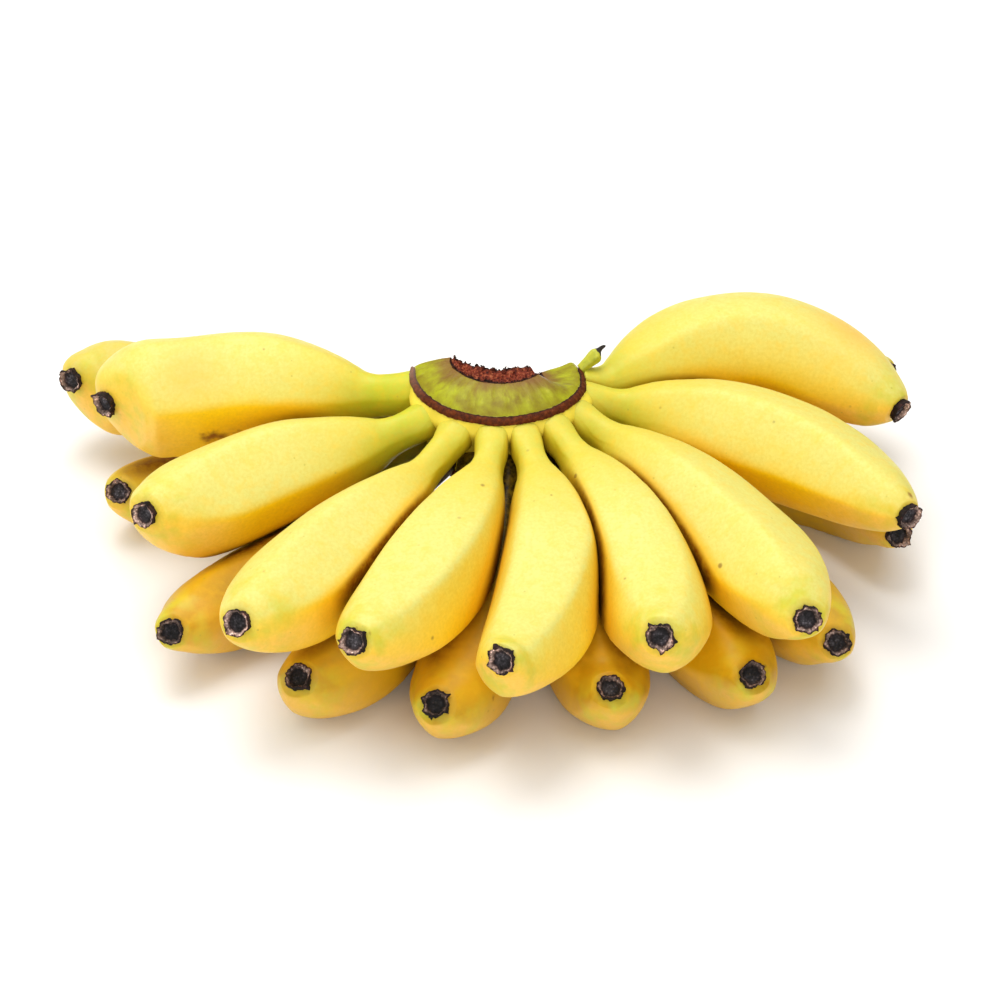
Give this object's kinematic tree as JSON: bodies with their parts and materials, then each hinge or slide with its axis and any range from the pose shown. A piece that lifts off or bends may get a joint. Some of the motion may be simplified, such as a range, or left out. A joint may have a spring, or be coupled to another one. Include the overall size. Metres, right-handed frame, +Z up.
{
  "type": "banana hand",
  "caption": "A hand of short plump bananas in two rows, fanned round a half-ring crown with its stalk cut away, lying crown up.",
  "frame": {"origin": "on the surface that the hand lies on, under the middle of its box", "axes": "+Z up from the surface; +X along the spread of the fingers, from the left end of the hand to the right as seen from the tips; -Y from the crown towards the tips of the middle fingers"},
  "size_m": [0.3274, 0.2275, 0.0831],
  "materials": {
    "ripe_peel": "satin",
    "green_crown": "satin"
  },
  "bodies": {
    "root": {"crown": "green_crown", "undeveloped_finger": "green_crown", "finger_upper_1": "ripe_peel", "finger_upper_2": "ripe_peel", "finger_upper_3": "ripe_peel", "finger_upper_4": "ripe_peel", "finger_upper_5": "ripe_peel", "finger_upper_6": "ripe_peel", "finger_upper_7": "ripe_peel", "finger_upper_8": "ripe_peel", "finger_upper_9": "ripe_peel", "finger_lower_1": "ripe_peel", "finger_lower_2": "ripe_peel", "finger_lower_3": "ripe_peel", "finger_lower_4": "ripe_peel", "finger_lower_5": "ripe_peel", "finger_lower_6": "ripe_peel", "finger_lower_7": "ripe_peel", "finger_lower_8": "ripe_peel", "finger_lower_9": "ripe_peel", "finger_lower_10": "ripe_peel"}
  },
  "joints": []
}
